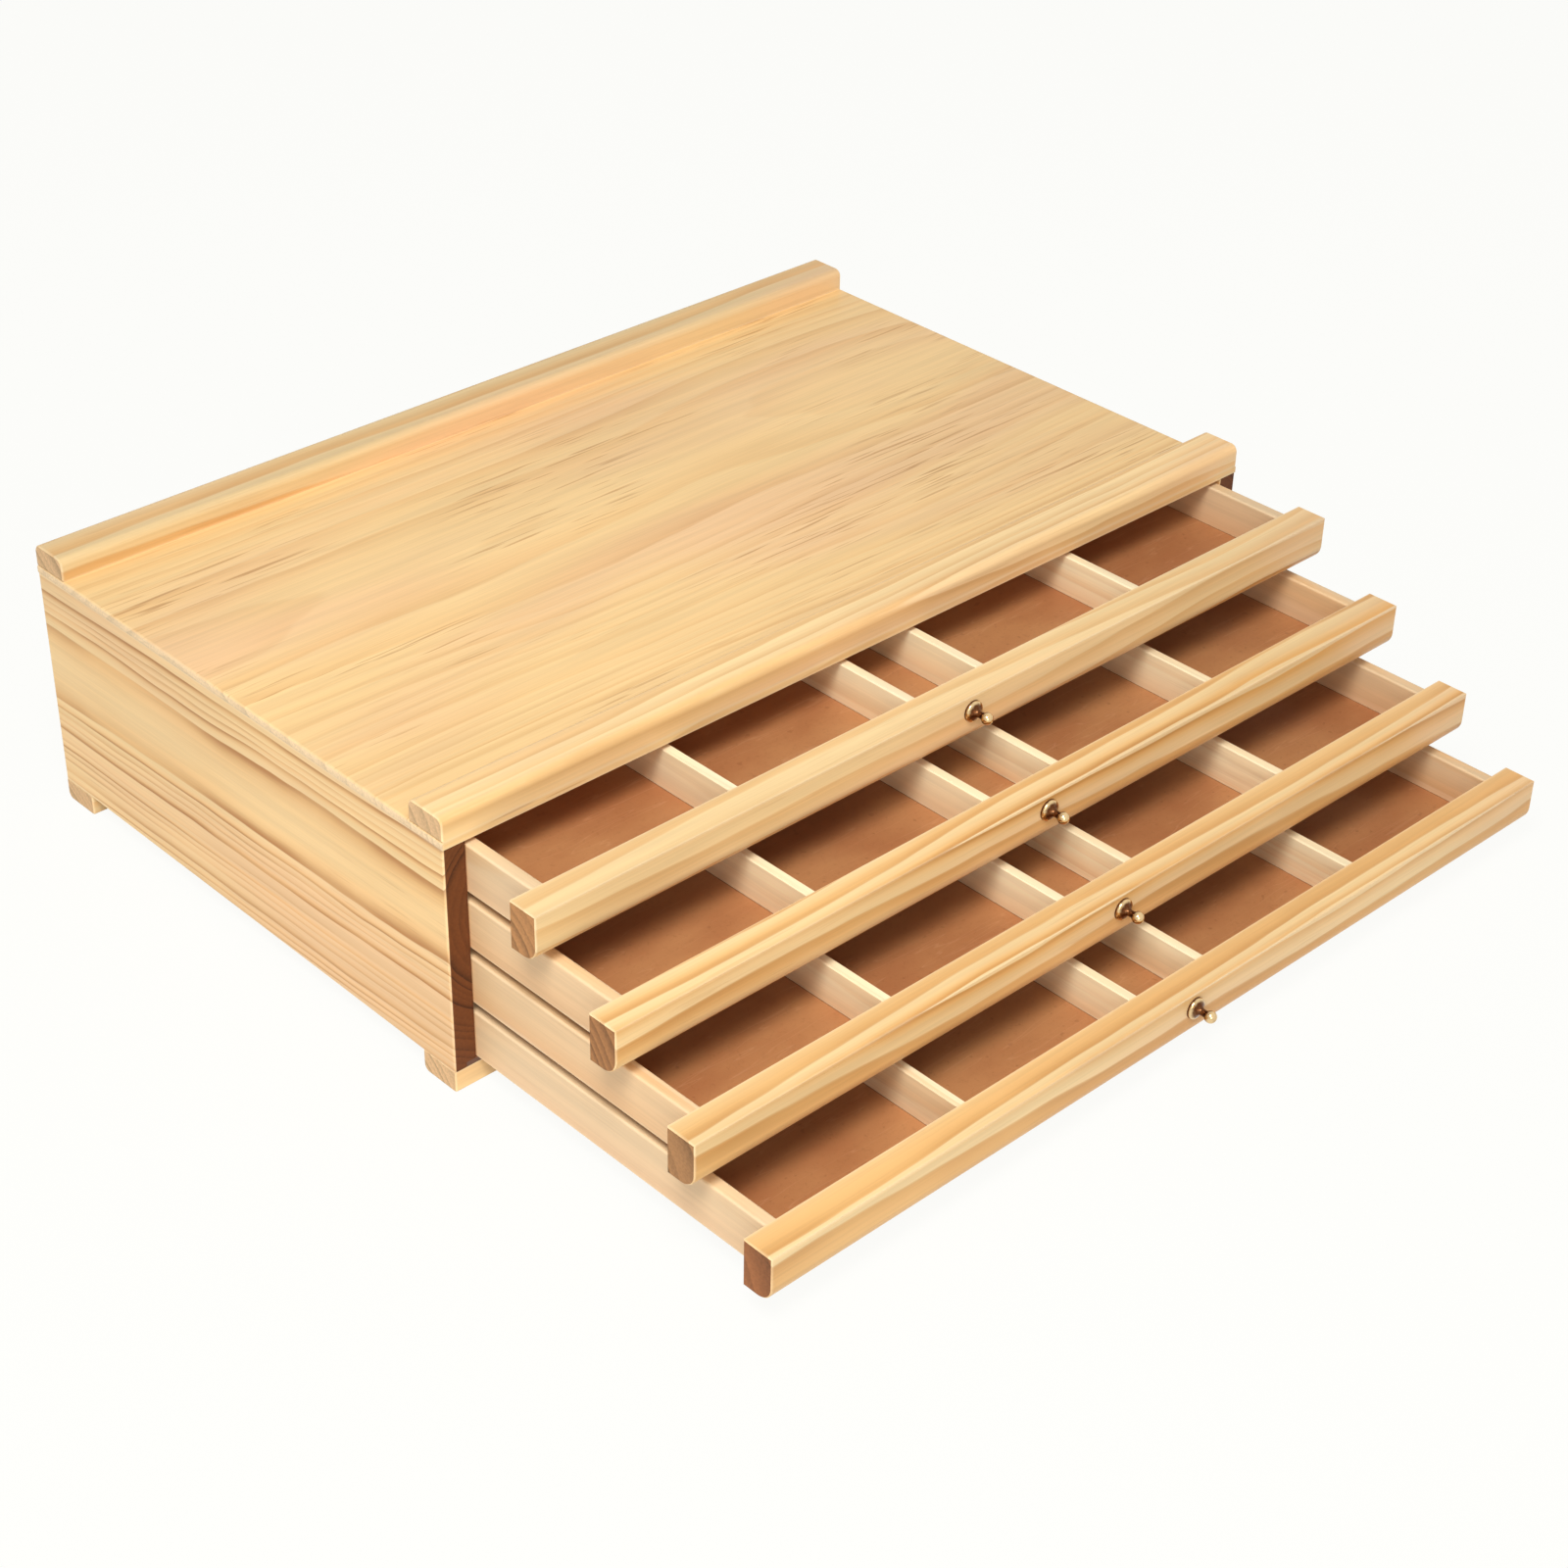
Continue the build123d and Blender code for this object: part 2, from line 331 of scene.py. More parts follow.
def pine_grain_group():
    """Growth rings of a board, sawn from a log whose heart lies along X at a given place.

    Distance from the heart, bent by slow noise, is cut into rings of uneven width. Each
    ring darkens slowly and ends at once, and comes and goes along the board. Fine fibres
    run along X on top, with short dark dashes where pores were cut open.
    """
    tree, g, given, result = group_sockets(
        "pine_grain",
        [("Place", "v", (0, 0, 0)), ("Heart", "v", (0, 0.03, -0.06)),
         ("Ring width", "f", 0.006), ("Waver", "f", 0.006), ("Seed", "f", 0.0)],
        [("Line", "f"), ("Band", "f"), ("Dash", "f"), ("Fibre", "f"), ("Cloud", "f")],
    )
    aside = (1.7, 0.9, 1.3)  # metres by which one seed's noise lies from the next
    apart = g.add("ShaderNodeVectorMath", {0: aside, "Scale": given["Seed"]},
                  operation="SCALE").outputs[0]
    placed = g.vector("ADD", given["Place"], apart)
    slow = g.streaks(placed, SLOW_BEND, detail=1.0)
    quick = g.streaks(placed, QUICK_RIPPLE)
    flat = g.vector("MULTIPLY", g.vector("SUBTRACT", given["Place"], given["Heart"]),
                    (0.0, 1.0, 1.0))
    radius = g.vector("LENGTH", flat, result="Value")
    bend = g.math("MULTIPLY", g.math("SUBTRACT", slow, 0.5), given["Waver"])
    ripple = g.math("SUBTRACT", quick, 0.5)
    rippled = g.math("MULTIPLY_ADD", ripple, RIPPLE_HEIGHT, radius)
    bent = g.math("MULTIPLY_ADD", bend, BEND_GAIN, rippled)
    even = g.math("DIVIDE", bent, given["Ring width"])
    drift = g.math("MULTIPLY_ADD", even, RING_DRIFT, given["Seed"])
    uneven = g.add("ShaderNodeTexNoise", {"W": drift, "Scale": 1.0, "Detail": 0.0},
                   noise_dimensions="1D").outputs["Fac"]
    turns = g.math("MULTIPLY_ADD", uneven, RING_SPREAD, even)
    share, ring = g.math("FRACT", turns), g.math("FLOOR", turns)
    own = g.add("ShaderNodeTexWhiteNoise", {"W": g.math("ADD", ring, given["Seed"])},
                noise_dimensions="1D").outputs["Value"]
    along = g.add("ShaderNodeSeparateXYZ", {0: placed}).outputs[0]
    runs = (g.math("MULTIPLY", along, RING_RUNS[0]), g.math("MULTIPLY", ring, RING_RUNS[1]))
    run = g.add("ShaderNodeCombineXYZ", dict(enumerate(runs))).outputs[0]
    stay = g.steps(g.noise(run, 1.0, detail=2.0), 0.34, 0.62, 0.12, 1.0)
    strength = g.math("MULTIPLY", g.math("MULTIPLY_ADD", own, 0.75, 0.25), stay)
    rise = g.math("POWER", g.steps(share, 0.35, 0.94), 2.2)
    fall = g.steps(share, 0.94, 1.0, 1.0, 0.0)
    sharp = g.math("MULTIPLY", rise, fall)
    soft = g.math("MULTIPLY", g.steps(share, 0.0, 0.9), g.steps(share, 0.9, 1.0, 1.0, 0.0))
    patches = g.steps(g.streaks(placed, PORE_PATCHES, detail=1.0), 0.42, 0.66)
    dashes = g.steps(g.streaks(placed, PORES, detail=1.0), 0.60, 0.70)
    fine = g.streaks(placed, FINE_FIBRE, detail=1.0)
    coarse = g.streaks(placed, COARSE_FIBRE)
    g.feed(result.inputs["Line"], g.math("MULTIPLY", sharp, strength, clamp=True))
    g.feed(result.inputs["Band"],
           g.math("MULTIPLY", soft, g.math("MULTIPLY_ADD", own, 0.7, 0.3), clamp=True))
    g.feed(result.inputs["Dash"], g.math("MULTIPLY", patches, dashes))
    g.feed(result.inputs["Fibre"],
           g.math("MULTIPLY_ADD", coarse, 0.65, g.math("MULTIPLY", fine, 0.35)))
    g.feed(result.inputs["Cloud"], g.streaks(placed, WOOD_CLOUDS, detail=3.0))
    return tree


def edge_group():
    """1 along the edges of a box-shaped piece, fading within a width.

    On a face one of the three distances to the box's sides is zero, so the middle one
    of the three is the distance to the nearest edge.
    """
    tree, g, given, result = group_sockets(
        "eased_edge",
        [("Point", "v", (0, 0, 0)), ("Low", "v", (0, 0, 0)), ("High", "v", (1, 1, 1)),
         ("Width", "f", 0.001)],
        [("Edge", "f")],
    )
    below = g.vector("ABSOLUTE", g.vector("SUBTRACT", given["Point"], given["Low"]))
    above = g.vector("ABSOLUTE", g.vector("SUBTRACT", given["High"], given["Point"]))
    near = g.add("ShaderNodeSeparateXYZ", {0: g.vector("MINIMUM", below, above)}).outputs
    low_two = g.math("MINIMUM", near[0], near[1])
    high_two = g.math("MAXIMUM", near[0], near[1])
    middle = g.math("MAXIMUM", low_two, g.math("MINIMUM", high_two, near[2]))
    patchy = g.noise(given["Point"], 160.0, detail=2.0)
    width = g.math("MULTIPLY", given["Width"], g.math("MULTIPLY_ADD", patchy, 1.2, 0.4))
    edge = g.math("SUBTRACT", 1.0, g.math("DIVIDE", middle, width), clamp=True)
    g.feed(result.inputs["Edge"], edge)
    return tree


def handling_group():
    """Slow patches left by hands and dust: adds to roughness or takes from it."""
    tree, g, given, result = group_sockets(
        "handling", [("Point", "v", (0, 0, 0)), ("Amount", "f", 0.1)], [("Rough", "f")],
    )
    patches = g.noise(given["Point"], 14.0, detail=4.0, roughness=0.6)
    grit = g.noise(given["Point"], 420.0, detail=1.0)
    both = g.math("MULTIPLY_ADD", grit, 0.3, g.math("MULTIPLY", patches, 0.7))
    centred = g.math("SUBTRACT", both, 0.5)
    g.feed(result.inputs["Rough"], g.math("MULTIPLY", centred, given["Amount"]))
    return tree


def shared_group(maker):
    """The node group that a function makes, built the first time it is asked for."""
    name = maker.__name__
    if name not in shared_group.made:
        shared_group.made[name] = maker()
    return shared_group.made[name]


shared_group.made = {}


def new_material(name, viewport):
    """Empty node material with its Graph, Principled shader and object coordinates."""
    material = bpy.data.materials.new(name)
    material.use_nodes = True
    material.diffuse_color = (*viewport, 1.0)
    material.node_tree.nodes.clear()
    g = Graph(material.node_tree)
    where = g.add("ShaderNodeTexCoord")
    shader = g.add("ShaderNodeBsdfPrincipled")
    g.add("ShaderNodeOutputMaterial", {"Surface": shader.outputs[0]})
    return material, g, where, shader


class Plank(NamedTuple):
    """How one board was sawn, and how strongly its grain shows."""

    along: str
    heart: tuple  # the log's heart from the board's middle: along, across and up
    ring: float  # width of a growth ring
    waver: float  # how far the rings wander
    lines: float
    bands: float
    dashes: float
    end: tuple  # tone of its sawn ends, with painted shade in it for the sides and the drawer fronts
    tilt: float = 0.0  # of the log's heart against the board


def pine_material(node, plank, tint, seed):
    """Pine board of a CAD node: grain along X or Y, rings and pores at its sawn ends."""
    looks = bpy.context.scene.pine_finish
    low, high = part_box(node)
    material, g, where, shader = new_material(f"pine_{node}", tint)
    turn = math.pi / 2 if plank.along == ALONG_Y else 0.0
    place = g.add(
        "ShaderNodeMapping",
        {"Vector": where.outputs["Object"], "Location": (low + high) / 2,
         "Rotation": (0, plank.tilt, turn)},
        vector_type="TEXTURE",
    ).outputs[0]
    grain = g.group(pine_grain_group, place=place, heart=plank.heart,
                    ring_width=plank.ring, waver=plank.waver, seed=seed)
    direction = (0, 1, 0) if plank.along == ALONG_Y else (1, 0, 0)
    facing = g.vector("DOT_PRODUCT", where.outputs["Normal"], direction, result="Value")
    end = g.steps(g.math("ABSOLUTE", facing), 0.8, 0.95)
    warm = g.math("MULTIPLY", grain["Band"], plank.bands)
    lines = g.math("MULTIPLY", grain["Line"], plank.lines, clamp=True)
    dashes = g.math("MULTIPLY", grain["Dash"], plank.dashes)
    pink = g.streaks(place, PINK_CLOUDS)
    wood = g.mix(g.steps(pink, 0.42, 0.68, 0.0, 0.6), tint, tuple(looks.blush))
    wood = g.mix(warm, wood, tuple(looks.warm))
    wood = g.mix(lines, wood, tuple(looks.line))
    wood = g.mix(dashes, wood, tuple(looks.dash))
    tone = g.math("MULTIPLY", g.steps(grain["Cloud"], 0.3, 0.7, 0.95, 1.03),
                  g.steps(grain["Fibre"], 0.35, 0.65, 0.94, 1.04))
    wood = g.mix(1.0, wood, tone, "MULTIPLY")
    pores = g.noise(place, 1100.0, detail=2.0)
    arcs = g.math("MULTIPLY_ADD", warm, -0.45, g.steps(pores, 0.3, 0.7, 0.94, 1.10))
    arcs = g.math("MULTIPLY_ADD", lines, -0.40, arcs)
    sawn = g.mix(1.0, plank.end, arcs, "MULTIPLY")
    wood = g.mix(end, wood, sawn)
    edge = g.group(edge_group, point=where.outputs["Object"], low=low, high=high,
                   width=0.0010)["Edge"]
    side = g.math("SUBTRACT", 1.0, end)
    # painted highlight with wear: faces other than the sawn ends grow paler along their edges,
    # as worn wood and as rounded edges catching light
    rubbed_and_highlit = g.math("MULTIPLY", g.math("MULTIPLY", edge, side), 0.30)
    darker = g.math("MULTIPLY", g.math("MULTIPLY", edge, end), 0.28)
    wood = g.mix(rubbed_and_highlit, wood, RUBBED_WOOD_AND_HIGHLIGHT)
    wood = g.mix(darker, wood, tuple(0.45 * c for c in plank.end))
    hands = g.group(handling_group, point=where.outputs["Object"], amount=0.16)
    g.feed(shader.inputs["Base Color"], wood)
    rough = g.math("ADD", hands["Rough"], looks.gloss)
    rough = g.math("MULTIPLY_ADD", end, 0.25, rough, clamp=True)
    g.feed(shader.inputs["Roughness"], rough)
    height = g.math("MULTIPLY_ADD", grain["Line"], 1.0,
                    g.math("MULTIPLY_ADD", grain["Dash"], -0.7,
                           g.math("MULTIPLY", grain["Fibre"], 0.5)))
    bump = g.add("ShaderNodeBump", {"Height": height, "Distance": looks.relief,
                                    "Strength": 0.6})
    g.feed(shader.inputs["Normal"], bump.outputs[0])
    g.feed(shader.inputs["Coat Weight"], g.math("MULTIPLY", side, 0.10))
    shader.inputs["Coat Roughness"].default_value = 0.25
    shader.inputs["Specular IOR Level"].default_value = 0.25
    return material


def wall_feet_shade_group():
    """1 in a fine line where the walls and dividers of a drawer stand on its floor, the mask of
    painted shade in those corners.

    The distance across to the nearest wall, or back from the front board, is zero
    in the corner and fades within half a millimetre.
    """
    tree, g, given, result = group_sockets(
        "wall_feet", [("Point", "v", (0, 0, 0)), ("Front", "f", 0.0), ("Width", "f", 0.0005)],
        [("Corner", "f")],
    )
    across, back, _ = g.add("ShaderNodeSeparateXYZ", {0: given["Point"]}).outputs
    walls = ["left_side", "right_side"] + [f"divider_{place}" for place in BAY_WALLS]
    near = g.math("ABSOLUTE", g.math("SUBTRACT", back, given["Front"]))
    for wall in walls:
        low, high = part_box(f"drawer_1_{wall}")
        middle, half = float(low[0] + high[0]) / 2, float(high[0] - low[0]) / 2
        away = g.math("ABSOLUTE", g.math("SUBTRACT", across, middle))
        near = g.math("MINIMUM", near, g.math("SUBTRACT", away, half))
    g.feed(result.inputs["Corner"],
           g.math("SUBTRACT", 1.0, g.math("DIVIDE", near, given["Width"]), clamp=True))
    return tree


def hardboard_material(name, seed, front):
    """Pressed brown fibreboard: soft clouds, short dark fibres, a few long pale scuffs, and
    painted shade where the walls stand on it.
    """
    looks = bpy.context.scene.hardboard_finish
    material, g, where, shader = new_material(name, looks.face)
    point = g.vector("ADD", where.outputs["Object"], (seed, seed, seed))
    fibres = g.noise(point, 620.0, detail=4.0, roughness=0.6, distortion=0.8)
    clouds = g.streaks(point, BOARD_CLOUDS, detail=4.0, roughness=0.55)
    flecks = g.steps(g.noise(point, 330.0, detail=1.0), 0.70, 0.78)
    crossing = g.math("SUBTRACT", g.streaks(point, BOARD_SCUFFS), 0.52)
    scuff = g.steps(g.math("ABSOLUTE", crossing), 0.0, 0.010, 0.2, 0.0)
    tint = g.mix(g.steps(clouds, 0.3, 0.7), tuple(looks.face), tuple(looks.cloud))
    share = g.math("MULTIPLY_ADD", flecks, 0.3, g.steps(fibres, 0.5, 0.8, 0.0, 0.25),
                   clamp=True)
    tint = g.mix(share, tint, tuple(looks.fibre))
    tint = g.mix(scuff, tint, RUBBED_BOARD)
    # painted shade: a fine dark line where the walls and the front board stand on the floor
    corner = g.group(wall_feet_shade_group, point=where.outputs["Object"], front=front)["Corner"]
    tint = g.mix(g.math("MULTIPLY", corner, 0.85), tint, PAINTED_CORNER_SHADE)
    up = g.add("ShaderNodeSeparateXYZ", {0: where.outputs["Normal"]}).outputs[2]
    rim = g.steps(g.math("ABSOLUTE", up), 0.5, 0.8, 1.0, 0.0)
    tint = g.mix(rim, tint, CUT_BOARD)
    hands = g.group(handling_group, point=point, amount=0.2)
    g.feed(shader.inputs["Base Color"], tint)
    g.feed(shader.inputs["Roughness"], g.math("ADD", hands["Rough"], looks.gloss))
    bump = g.add("ShaderNodeBump", {"Height": fibres, "Distance": 0.00002,
                                    "Strength": 0.4})
    g.feed(shader.inputs["Normal"], bump.outputs[0])
    return material


def brass_material(number, centre):
    """Turned brass of one knob: painted dark reflection and shade on its foot, flare, neck and
    the back of the ball, and random tarnish.
    """
    looks = bpy.context.scene.brass_finish
    material, g, where, shader = new_material(f"turned_brass_{number}", looks.bright)
    place = g.add("ShaderNodeMapping", {"Vector": where.outputs["Object"],
                                        "Location": centre},
                  vector_type="TEXTURE").outputs[0]
    out = g.vector("LENGTH", g.vector("MULTIPLY", place, (1, 0, 1)), result="Value")
    along = g.math("MULTIPLY", g.add("ShaderNodeSeparateXYZ", {0: place}).outputs[1], -1.0)
    tarnish = g.noise(place, 700.0, detail=4.0, roughness=0.6)
    # painted shade and dark reflection: dark at the foot, over the flare and neck, and on the
    # ball's back half; the noise above adds tarnish
    foot = g.steps(along, 0.0004, 0.0010, 0.9, 0.0)
    neck = g.steps(out, 0.62 * looks.foot, 0.92 * looks.foot, 0.95, 0.0)
    ball = g.steps(along, looks.length - 1.7 * looks.ball, looks.length - 0.6 * looks.ball)
    neck = g.math("MULTIPLY", neck, g.math("SUBTRACT", 1.0, ball))
    share = g.math("ADD", g.math("MAXIMUM", foot, neck),
                   g.steps(tarnish, 0.45, 0.75, 0.0, 0.5), clamp=True)
    g.feed(shader.inputs["Base Color"],
           g.mix(share, tuple(looks.bright), tuple(looks.aged_and_dark_reflection)))
    g.feed(shader.inputs["Roughness"],
           g.math("MULTIPLY_ADD", share, 0.22, looks.gloss))
    turning = g.noise(g.vector("MULTIPLY", place, (500.0, 9000.0, 500.0)), 1.0)
    bump = g.add("ShaderNodeBump", {"Height": turning, "Distance": 0.000004,
                                    "Strength": 0.4})
    g.feed(shader.inputs["Normal"], bump.outputs[0])
    shader.inputs["Metallic"].default_value = 1.0
    return material


def steel_material():
    """Zinc-plated screw steel with fine scratches."""
    material, g, where, shader = new_material("plated_steel", (0.6, 0.6, 0.6))
    scratches = g.noise(where.outputs["Object"], 900.0, detail=3.0)
    g.feed(shader.inputs["Base Color"], g.mix(scratches, *ZINC))
    g.feed(shader.inputs["Roughness"], g.steps(scratches, 0.3, 0.7, 0.28, 0.45))
    shader.inputs["Metallic"].default_value = 1.0
    return material


def dress(node, material):
    """Give one CAD node its material."""
    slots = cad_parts[node].data.materials
    slots.clear()
    slots.append(material)


def dress_pine(node, plank, tint, seed):
    """Give one CAD node its own pine board."""
    board = tuple(c * (1.0 + 0.035 * math.sin(2.7 * seed)) for c in tint)
    dress(node, pine_material(node, plank, board, seed))


def turned_surface(name, centre, along, out):
    """Closed turned piece about the axis through a centre along -Y.

    The point at row i and turn a is the centre moved by -along[i] in Y and by out[i]
    times (cos a, sin a) in X and Z. A fan closes each end.
    """
    turn = np.linspace(0, 2 * np.pi, KNOB_TURNS, endpoint=False)
    rows, ring = len(along), KNOB_TURNS
    points = np.empty((rows, ring, 3))
    points[..., 0] = centre[0] + np.outer(out, np.cos(turn))
    points[..., 1] = centre[1] - along[:, None]
    points[..., 2] = centre[2] + np.outer(out, np.sin(turn))
    ends = np.array([[centre[0], centre[1] - along[0], centre[2]],
                     [centre[0], centre[1] - along[-1], centre[2]]])
    i, j = np.meshgrid(np.arange(rows - 1), np.arange(ring), indexing="ij")
    after = (j + 1) % ring
    walls = np.stack([i * ring + j, i * ring + after, (i + 1) * ring + after,
                      (i + 1) * ring + j], -1).reshape(-1, 4)
    j = np.arange(ring)
    after, last = (j + 1) % ring, (rows - 1) * ring
    back = np.stack([np.full(ring, rows * ring), after, j], -1)
    tip = np.stack([np.full(ring, rows * ring + 1), last + j, last + after], -1)
    mesh = bpy.data.meshes.new(name)
    mesh.from_pydata(np.concatenate([points.reshape(-1, 3), ends]).tolist(), [],
                     walls.tolist() + back.tolist() + tip.tolist())
    mesh.polygons.foreach_set("use_smooth", np.arange(len(mesh.polygons)) < len(walls))
    mesh.update()
    piece = bpy.data.objects.new(name, mesh)
    bpy.context.scene.collection.objects.link(piece)
    return piece


def knob_profile(sizes):
    """Distances along and out from the axis: rounded foot, flare, neck and ball.

    The foot's edge is a quarter of an ellipse, the flare falls as a power of the way
    left to the neck, and the ball is an arc of a circle about its centre.
    """
    rim, neck_start = FOOT_SHARE * sizes.length, NECK_SHARE * sizes.length
    middle = sizes.length - sizes.ball
    quarter = np.linspace(0, np.pi / 2, 7)
    foot_along = rim * np.sin(quarter)
    foot_out = sizes.foot - 0.3 * rim * (1 - np.cos(quarter))
    way = np.linspace(0, 1, 15)[1:]
    flare_along = rim + way * (neck_start - rim)
    flare_out = sizes.neck + (foot_out[-1] - sizes.neck) * (1 - way) ** FLARE_POWER
    start = np.pi - np.arcsin(sizes.neck / sizes.ball)
    turn = np.linspace(start, 0.03, 20)
    ball_along, ball_out = middle + sizes.ball * np.cos(turn), sizes.ball * np.sin(turn)
    return (np.concatenate([foot_along, flare_along, ball_along]),
            np.concatenate([foot_out, flare_out, ball_out]))


# ------------------------------------------------------------------ operators


class DRAWERBOX_OT_dress_cabinet(bpy.types.Operator):
    """Gives the panels, rails and runners of the cabinet their wood"""

    bl_idname = "drawerbox.dress_cabinet"
    bl_label = "Dress the Cabinet"

    def execute(self, context):
        pine = context.scene.pine_finish
        board, pale, rail_tint = tuple(pine.board), tuple(pine.pale), tuple(pine.rail)
        side_tint = tuple(pine.side)
        for seed, (side, inward) in enumerate((("left", -1), ("right", 1))):
            # the panels' sawn front edges take the dark end tone, which has painted shade in it
            panel = Plank(ALONG_Y, heart=(0, inward * 0.030, 0.012), ring=0.0028,
                          waver=0.0018, lines=1.05, bands=0.56, dashes=0.22,
                          end=SIDE_END_AND_SHADE, tilt=0.028)
            dress_pine(f"{side}_side_panel", panel, side_tint, 1.3 + seed)
            for level in (1, 2, 3):
                runner = Plank(ALONG_Y, heart=(0, 0.02, -0.03), ring=0.004, waver=0.004,
                               lines=0.5, bands=0.4, dashes=0.2, end=PALE_END)
                dress_pine(f"{side}_runner_{level}", runner, pale, 3.1 + seed + 0.3 * level)
        top = Plank(ALONG_X, heart=(0, 0.03, -0.070), ring=0.0052, waver=0.010,
                    lines=0.26, bands=0.26, dashes=0.70, end=TOP_END)
        dress_pine("top_panel", top, board, 5.2)
        back = Plank(ALONG_X, heart=(0, 0.05, -0.04), ring=0.006, waver=0.008,
                     lines=0.6, bands=0.5, dashes=0.3, end=PALE_END)
        dress_pine("back_panel", back, board, 6.4)
        # painted shade: the rear rails are darker copies of the rail tint, standing in for less
        # light at the back of the box
        shades = {"front_top": 1.0, "rear_top": 0.88, "front_foot": 1.0,
                  "rear_foot": 0.95}
        for seed, (name, shade) in enumerate(shades.items()):
            rail = Plank(ALONG_X, heart=(0, 0.030, -0.024 - 0.004 * seed), ring=0.0046,
                         waver=0.007, lines=0.42, bands=0.60, dashes=0.15, end=RAIL_END)
            tint = tuple(shade * c for c in rail_tint)
            dress_pine(f"{name}_rail", rail, tint, 7.7 + 1.3 * seed)
        dress("bottom_panel", hardboard_material("hardboard_bottom", 0.9, -1.0))
        return {"FINISHED"}


class DRAWERBOX_OT_dress_drawers(bpy.types.Operator):
    """Gives the fronts, walls, dividers and floors of the drawers their wood"""

    bl_idname = "drawerbox.dress_drawers"
    bl_label = "Dress the Drawers"

    def execute(self, context):
        pine = context.scene.pine_finish
        pale, lit_cream, rail_tint = tuple(pine.pale), tuple(pine.lit_cream), tuple(pine.rail)
        for number in DRAWERS:
            drawer, seed = f"drawer_{number}_", 11.0 + 4.7 * number
            # the fronts' sawn ends take a tone with painted shade, darker for the lower drawers
            front = Plank(ALONG_X, heart=(0, 0.024 + 0.005 * number, -0.026), ring=0.0050,
                          waver=0.009, lines=0.66, bands=0.92, dashes=0.15,
                          end=FRONT_ENDS_AND_SHADE[number - 1])
            dress_pine(drawer + "front", front, rail_tint, seed)
            back = Plank(ALONG_X, heart=(0, 0.02, -0.02), ring=0.004, waver=0.005,
                         lines=0.5, bands=0.4, dashes=0.2, end=PALE_END)
            dress_pine(drawer + "back", back, pale, seed + 0.7)
            for shift, side in enumerate(("left", "right")):
                wall = Plank(ALONG_Y, heart=(0, 0.05, 0.012 + 0.004 * shift), ring=0.007,
                             waver=0.006, lines=0.16, bands=0.26, dashes=0.12,
                             end=PALE_END)
                dress_pine(f"{drawer}{side}_side", wall, pale, seed + 1.1 + shift)
            for place in BAY_WALLS:
                divider = Plank(ALONG_Y, heart=(0, 0.04, 0.01 * place), ring=0.006,
                                waver=0.005, lines=0.18, bands=0.25, dashes=0.12,
                                end=PALE_END)
                # the dividers take the paler copy of the walls' wood, painted light on their
                # faces
                dress_pine(f"{drawer}divider_{place}", divider, lit_cream,
                           seed + 2.9 + 0.37 * place)
            behind = float(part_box(drawer + "front")[1][1])
            floor = hardboard_material(f"{drawer}hardboard", 1.7 * number, behind)
            dress(drawer + "floor", floor)
        return {"FINISHED"}


class DRAWERBOX_OT_turn_knobs(bpy.types.Operator):
    """Turns the four knobs and gives them and their screws their metal"""

    bl_idname = "drawerbox.turn_knobs"
    bl_label = "Turn the Knobs"

    def execute(self, context):
        steel = steel_material()
        along, out = knob_profile(context.scene.brass_finish)
        for number in DRAWERS:
            low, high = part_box(f"drawer_{number}_knob")
            centre = Vector(((low[0] + high[0]) / 2, high[1], (low[2] + high[2]) / 2))
            knob = turned_surface(f"turned_knob_{number}", centre, along, out)
            knob.data.materials.append(brass_material(number, centre))
            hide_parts(f"drawer_{number}_knob")
            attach(knob, f"drawer_{number}")
            dress(f"drawer_{number}_knob_screw", steel)
        return {"FINISHED"}


def stage_material(name, tone, share):
    """Pale matt surface that the camera and reflections see mostly as plain white."""
    material, g, where, shader = new_material(name, tone)
    output = next(n for n in g.tree.nodes if n.bl_idname == "ShaderNodeOutputMaterial")
    paper = g.noise(where.outputs["Object"], 3.0, detail=2.0)
    g.feed(shader.inputs["Base Color"],
           g.mix(paper, tone, tuple(0.98 * c for c in tone)))
    shader.inputs["Roughness"].default_value = 0.9
    white = g.add("ShaderNodeEmission", {"Color": STUDIO_WHITE, "Strength": 1.0})
    path = g.add("ShaderNodeLightPath").outputs
    seen = g.math("MAXIMUM", path["Is Camera Ray"], path["Is Glossy Ray"])
    mixed = g.add("ShaderNodeMixShader",
                  {0: g.math("MULTIPLY", seen, share), 1: shader.outputs[0],
                   2: white.outputs[0]})
    g.feed(output.inputs["Surface"], mixed.outputs[0])
    return material


def area_lamp(name, place, size, power, tint):
    """Square soft lamp that looks at the middle of the box."""
    data = bpy.data.lights.new(name, "AREA")
    data.energy, data.size, data.color = power, size, tint
    lamp = bpy.data.objects.new(name, data)
    bpy.context.scene.collection.objects.link(lamp)
    lamp.location = place
    towards = Vector(LAMP_TARGET) - Vector(place)
    lamp.rotation_euler = towards.to_track_quat("-Z", "Y").to_euler()


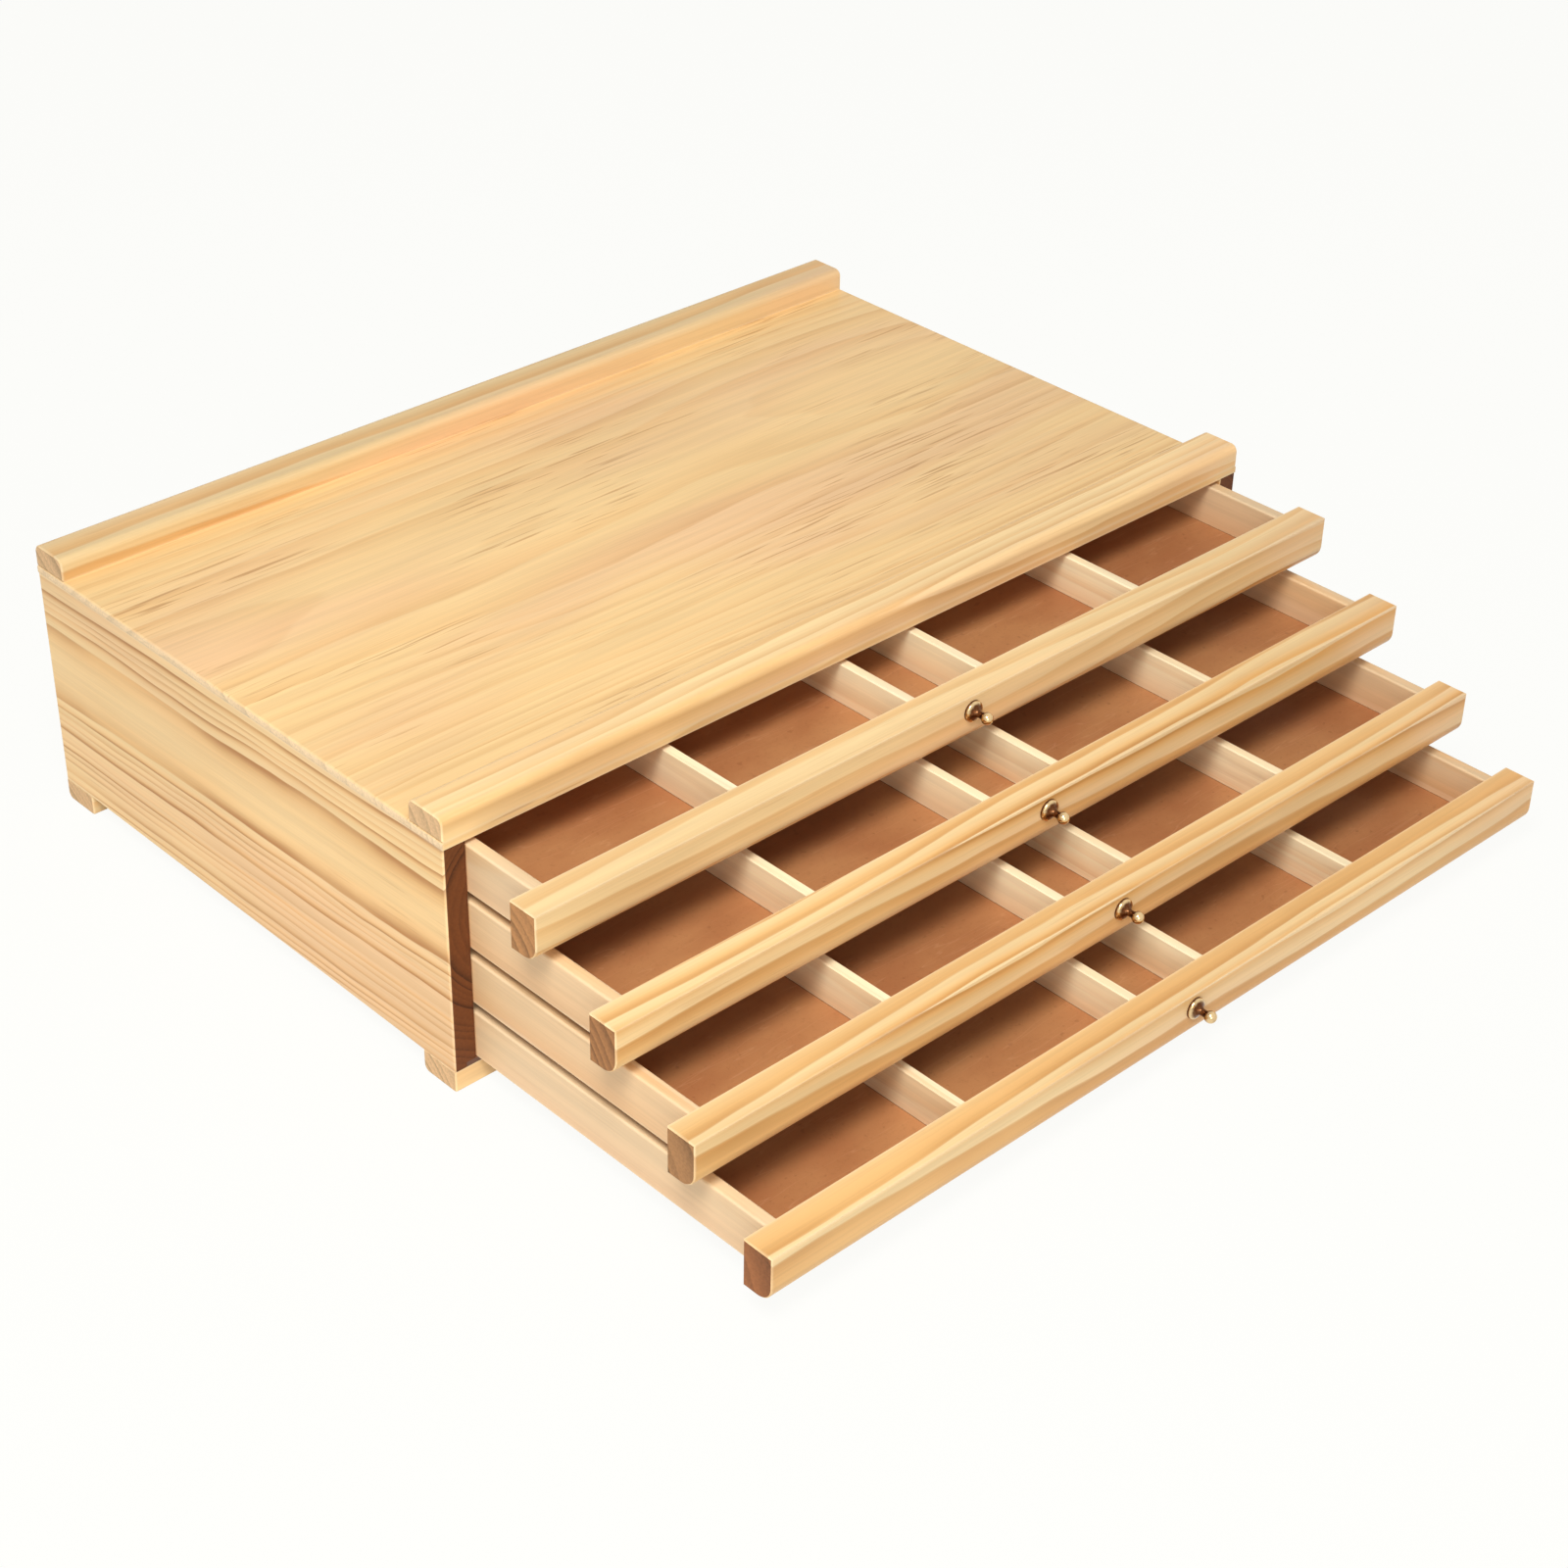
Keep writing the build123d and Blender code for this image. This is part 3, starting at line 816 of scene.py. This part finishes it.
class DRAWERBOX_OT_set_stage(bpy.types.Operator):
    """Makes the floor, the lamps, the world and the camera"""

    bl_idname = "drawerbox.set_stage"
    bl_label = "Set the Stage"

    def execute(self, context):
        studio = context.scene.studio
        self.floor()
        self.light(studio)
        self.camera(studio)
        context.scene.view_settings.view_transform = "Standard"
        return {"FINISHED"}

    def floor(self):
        """Round floor, a fan of quads from its middle, level with the feet."""
        turn, reach = np.meshgrid(np.linspace(0, 2 * np.pi, FLOOR_CORNERS + 1)[:-1],
                                  np.array(FLOOR_RINGS), indexing="ij")
        points = np.stack([reach * np.cos(turn), reach * np.sin(turn), 0 * turn], -1)
        ring, rows = points.shape[0], points.shape[1]
        i, j = np.meshgrid(np.arange(ring), np.arange(rows - 1), indexing="ij")
        following = (i + 1) % ring
        quads = np.stack([i * rows + j, i * rows + j + 1,
                          following * rows + j + 1, following * rows + j], -1)
        mesh = bpy.data.meshes.new("floor")
        mesh.from_pydata(points.reshape(-1, 3).tolist(), [], quads.reshape(-1, 4).tolist())
        mesh.materials.append(stage_material("pale_floor", FLOOR_TONE, FLOOR_WHITENESS))
        floor = bpy.data.objects.new("floor", mesh)
        bpy.context.scene.collection.objects.link(floor)

    def light(self, studio):
        """A high lamp at the left, a low wide one at the front left, and a weak even sky."""
        area_lamp("key_lamp", KEY_PLACE, KEY_SIZE, studio.key, KEY_TINT)
        area_lamp("fill_lamp", FILL_PLACE, FILL_SIZE, studio.fill, FILL_TINT)
        world = bpy.data.worlds.new("studio_sky")
        world.use_nodes = True
        world.node_tree.nodes.clear()
        g = Graph(world.node_tree)
        path = g.add("ShaderNodeLightPath").outputs
        seen = g.math("MAXIMUM", path["Is Camera Ray"], path["Is Glossy Ray"])
        even = g.add("ShaderNodeBackground",
                     {"Color": SKY_TINT, "Strength": studio.sky})
        white = g.add("ShaderNodeBackground", {"Color": STUDIO_WHITE, "Strength": 1.0})
        mixed = g.add("ShaderNodeMixShader",
                      {0: seen, 1: even.outputs[0], 2: white.outputs[0]})
        g.add("ShaderNodeOutputWorld", {"Surface": mixed.outputs[0]})
        bpy.context.scene.world = world

    def camera(self, studio):
        """Camera of the photograph: its right, down and forward directions in the frame."""
        right = Vector((0.72936, -0.68395, 0.01574))
        down = Vector((-0.36764, -0.41124, -0.83410))
        forward = Vector((0.57695, 0.60257, -0.55139))
        data = bpy.data.cameras.new("camera")
        data.sensor_width = 36.0
        data.lens = studio.focal_pixels / studio.image_pixels * data.sensor_width
        data.clip_start, data.clip_end = 0.05, 20.0
        camera = bpy.data.objects.new("camera", data)
        bpy.context.scene.collection.objects.link(camera)
        turned = Matrix((right, -down, -forward)).transposed().to_4x4()
        camera.matrix_world = Matrix.Translation(studio.eye) @ turned
        bpy.context.scene.camera = camera


class DRAWERBOX_PT_panel(bpy.types.Panel):
    """Lists the steps that dress the drawer box"""

    bl_idname = "DRAWERBOX_PT_panel"
    bl_label = "Pencil Drawer Box"
    bl_space_type = "VIEW_3D"
    bl_region_type = "UI"
    bl_category = "Drawer Box"

    def draw(self, context):
        for step in STEPS:
            self.layout.operator(step.bl_idname)
        for name in ("pine_finish", "hardboard_finish", "brass_finish", "studio"):
            group = getattr(context.scene, name)
            box = self.layout.box()
            box.label(text=name.replace("_", " ").capitalize())
            for field in group.bl_rna.properties.keys():
                if field not in ("rna_type", "name"):
                    box.prop(group, field)


STEPS = (
    DRAWERBOX_OT_dress_cabinet,
    DRAWERBOX_OT_dress_drawers,
    DRAWERBOX_OT_turn_knobs,
    DRAWERBOX_OT_set_stage,
)
GROUPS = {
    "pine_finish": PineFinish,
    "hardboard_finish": HardboardFinish,
    "brass_finish": BrassFinish,
    "studio": Studio,
}


def register():
    """Registers the property groups, the operators and the panel."""
    for name, group in GROUPS.items():
        bpy.utils.register_class(group)
        setattr(bpy.types.Scene, name, PointerProperty(type=group))
    for step in (*STEPS, DRAWERBOX_PT_panel):
        bpy.utils.register_class(step)


def unregister():
    """Takes away what register added."""
    for step in (DRAWERBOX_PT_panel, *reversed(STEPS)):
        bpy.utils.unregister_class(step)
    for name, group in reversed(GROUPS.items()):
        delattr(bpy.types.Scene, name)
        bpy.utils.unregister_class(group)


def main():
    register()
    bpy.ops.drawerbox.dress_cabinet()
    bpy.ops.drawerbox.dress_drawers()
    bpy.ops.drawerbox.turn_knobs()
    bpy.ops.drawerbox.set_stage()


if __name__ == "__main__":
    main()
